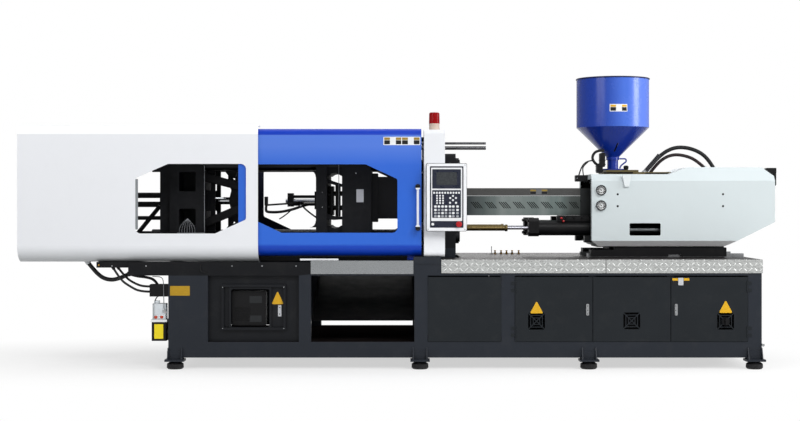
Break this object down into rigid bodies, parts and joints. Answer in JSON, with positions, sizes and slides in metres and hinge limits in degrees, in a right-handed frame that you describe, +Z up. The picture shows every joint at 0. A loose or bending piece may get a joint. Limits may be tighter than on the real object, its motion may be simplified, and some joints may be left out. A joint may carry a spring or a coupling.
{
  "type": "injection moulding machine",
  "caption": "Horizontal toggle-clamp injection moulding machine with sliding doors, mould, screw injection unit and hopper",
  "frame": {"origin": "on the floor below the middle of the machine", "axes": "+X from the clamp to the injection unit, +Y away from the operator, +Z up"},
  "size_m": [4.432, 1.268, 1.703],
  "materials": {
    "frame_paint": "dark grey, satin",
    "panel_paint": "dark grey, satin",
    "cover_white": "white, satin",
    "cover_blue": "blue, satin",
    "cover_pale": "pale grey white, satin",
    "hopper_blue": "blue, gloss",
    "deck_tread": "tread plate",
    "cast_dark": "painted dark, rough",
    "ground_steel": "ground",
    "hard_chrome": "polished",
    "stainless": "brushed",
    "dark_steel": "blackened",
    "mould_steel": "ground",
    "gilt_plate": "yellow passivated",
    "light_plastic": "light grey",
    "dark_plastic": "black",
    "red_plastic": "red",
    "white_plastic": "white",
    "hose_rubber": "black",
    "pump_paint": "blue grey"
  },
  "bodies": {
    "machine_base": {"alarm_lamp": "red_plastic", "back_panels": "panel_paint", "base_frame": "frame_paint", "carriage_guides": "hard_chrome", "clamp_cover_back": "cover_white", "clamp_cover_front": "cover_white", "clamp_cylinder": "dark_steel", "clamp_hoses": "hose_rubber", "clamp_valves": "dark_steel", "column_covers": "cover_white", "control_panel": "light_plastic", "deck_plates": "deck_tread", "door_rails": "frame_paint", "electrical_plate": "light_plastic", "fixed_platen": "cast_dark", "front_panels": "panel_paint", "hydraulic_pump": "pump_paint", "keypad_overlay": "dark_plastic", "levelling_feet": "dark_plastic", "lube_hoses": "hose_rubber", "lube_unit": "dark_plastic", "mould_fixed_half": "mould_steel", "product_chute": "dark_steel", "rear_platen": "cast_dark", "tie_bars": "hard_chrome"},
    "upper_rear_link": {"rear_link_upper": "cast_dark"},
    "lower_rear_link": {"rear_link_lower": "cast_dark"},
    "upper_front_link": {"front_link_upper": "cast_dark"},
    "lower_front_link": {"front_link_lower": "cast_dark"},
    "crosshead_body": {"crosshead": "cast_dark", "piston_rod": "hard_chrome"},
    "moving_platen_body": {"moving_platen": "cast_dark", "ejector_cylinder": "ground_steel", "safety_bar": "ground_steel", "mould_moving_half": "mould_steel"},
    "ejector_body": {"ejector_plate": "dark_steel"},
    "front_door_body": {"front_door": "cover_blue", "front_door_handle": "hard_chrome"},
    "back_door_body": {"back_door": "cover_blue", "back_door_handle": "hard_chrome"},
    "left_cabinet": {"left_cabinet_door": "panel_paint"},
    "right_cabinet": {"right_cabinet_door": "panel_paint"},
    "left_latch": {"left_door_latch": "dark_plastic"},
    "right_latch": {"right_door_latch": "dark_plastic"},
    "switch_body": {"main_switch": "dark_plastic"},
    "stop_body": {"emergency_stop": "red_plastic"},
    "start_body": {"start_button": "white_plastic"},
    "carriage_body": {"carriage_base": "cast_dark", "barrel": "ground_steel", "barrel_guard": "stainless", "shift_cylinders": "dark_steel", "injection_cylinders": "dark_steel", "injection_cover": "cover_pale", "hopper": "hopper_blue", "hopper_plates": "gilt_plate", "arc_hoses": "hose_rubber"},
    "injection_body": {"injection_plate": "cast_dark", "screw_motor": "dark_steel"},
    "screw_body": {"screw": "ground_steel"},
    "gate_body": {"hopper_gate": "cover_blue"}
  },
  "joints": [
    {"name": "rear_link_upper_turn", "type": "hinge", "parent": "machine_base", "child": "upper_rear_link", "pos_m": [-1.1, 0.024, 1.192], "axis": [0, 1, 0], "range_deg": [0, 78]},
    {"name": "front_link_upper_turn", "type": "hinge", "parent": "upper_rear_link", "child": "upper_front_link", "pos_m": [-0.905, 0.024, 1.192], "axis": [0, 1, 0], "range_deg": [-156, 0]},
    {"name": "platen_level", "type": "hinge", "parent": "upper_front_link", "child": "moving_platen_body", "pos_m": [-0.71, 0.024, 1.192], "axis": [0, 1, 0], "range_deg": [0, 78]},
    {"name": "rear_link_lower_turn", "type": "hinge", "parent": "machine_base", "child": "lower_rear_link", "pos_m": [-1.1, 0.024, 0.728], "axis": [0, 1, 0], "range_deg": [-78, 0]},
    {"name": "front_link_lower_turn", "type": "hinge", "parent": "lower_rear_link", "child": "lower_front_link", "pos_m": [-0.905, 0.024, 0.728], "axis": [0, 1, 0], "range_deg": [0, 156]},
    {"name": "crosshead_slide", "type": "slide", "parent": "machine_base", "child": "crosshead_body", "axis": [1, 0, 0], "range_m": [-0.11564, 0]},
    {"name": "ejector_slide", "type": "slide", "parent": "moving_platen_body", "child": "ejector_body", "axis": [1, 0, 0], "range_m": [0, 0.055]},
    {"name": "front_door_slide", "type": "slide", "parent": "machine_base", "child": "front_door_body", "axis": [1, 0, 0], "range_m": [-0.7, 0]},
    {"name": "back_door_slide", "type": "slide", "parent": "machine_base", "child": "back_door_body", "axis": [1, 0, 0], "range_m": [-0.7, 0]},
    {"name": "left_cabinet_hinge", "type": "hinge", "parent": "machine_base", "child": "left_cabinet", "pos_m": [0.626, -0.549, 0.34], "axis": [0, 0, -1], "range_deg": [0, 110]},
    {"name": "right_cabinet_hinge", "type": "hinge", "parent": "machine_base", "child": "right_cabinet", "pos_m": [1.947, -0.549, 0.34], "axis": [0, 0, 1], "range_deg": [0, 110]},
    {"name": "left_latch_turn", "type": "hinge", "parent": "left_cabinet", "child": "left_latch", "pos_m": [1.036, -0.551, 0.338], "axis": [0, 1, 0], "range_deg": [0, 90]},
    {"name": "right_latch_turn", "type": "hinge", "parent": "right_cabinet", "child": "right_latch", "pos_m": [1.541, -0.551, 0.338], "axis": [0, -1, 0], "range_deg": [0, 90]},
    {"name": "main_switch_turn", "type": "hinge", "parent": "right_cabinet", "child": "switch_body", "pos_m": [1.823, -0.551, 0.272], "axis": [0, 1, 0], "range_deg": [0, 90]},
    {"name": "stop_push", "type": "slide", "parent": "machine_base", "child": "stop_body", "axis": [0, 1, 0], "range_m": [0, 0.006]},
    {"name": "start_push", "type": "slide", "parent": "machine_base", "child": "start_body", "axis": [0, 1, 0], "range_m": [0, 0.0025], "stiffness_N_per_m": 600, "springref_m": -0.001},
    {"name": "carriage_slide", "type": "slide", "parent": "machine_base", "child": "carriage_body", "axis": [1, 0, 0], "range_m": [0, 0.18]},
    {"name": "injection_slide", "type": "slide", "parent": "carriage_body", "child": "injection_body", "axis": [1, 0, 0], "range_m": [0, 0.14]},
    {"name": "screw_turn", "type": "hinge", "parent": "injection_body", "child": "screw_body", "pos_m": [1.7, 0.024, 0.96], "axis": [1, 0, 0], "continuous": true},
    {"name": "gate_slide", "type": "slide", "parent": "carriage_body", "child": "gate_body", "axis": [1, 0, 0], "range_m": [0, 0.06]}
  ],
  "couplings": [
    {"joint": "front_link_upper_turn", "follows": "rear_link_upper_turn", "ratio": -2},
    {"joint": "platen_level", "follows": "rear_link_upper_turn", "ratio": 1},
    {"joint": "rear_link_lower_turn", "follows": "rear_link_upper_turn", "ratio": -1},
    {"joint": "front_link_lower_turn", "follows": "rear_link_upper_turn", "ratio": 2},
    {"joint": "crosshead_slide", "follows": "rear_link_upper_turn", "m_per_rad": -0.08487}
  ]
}
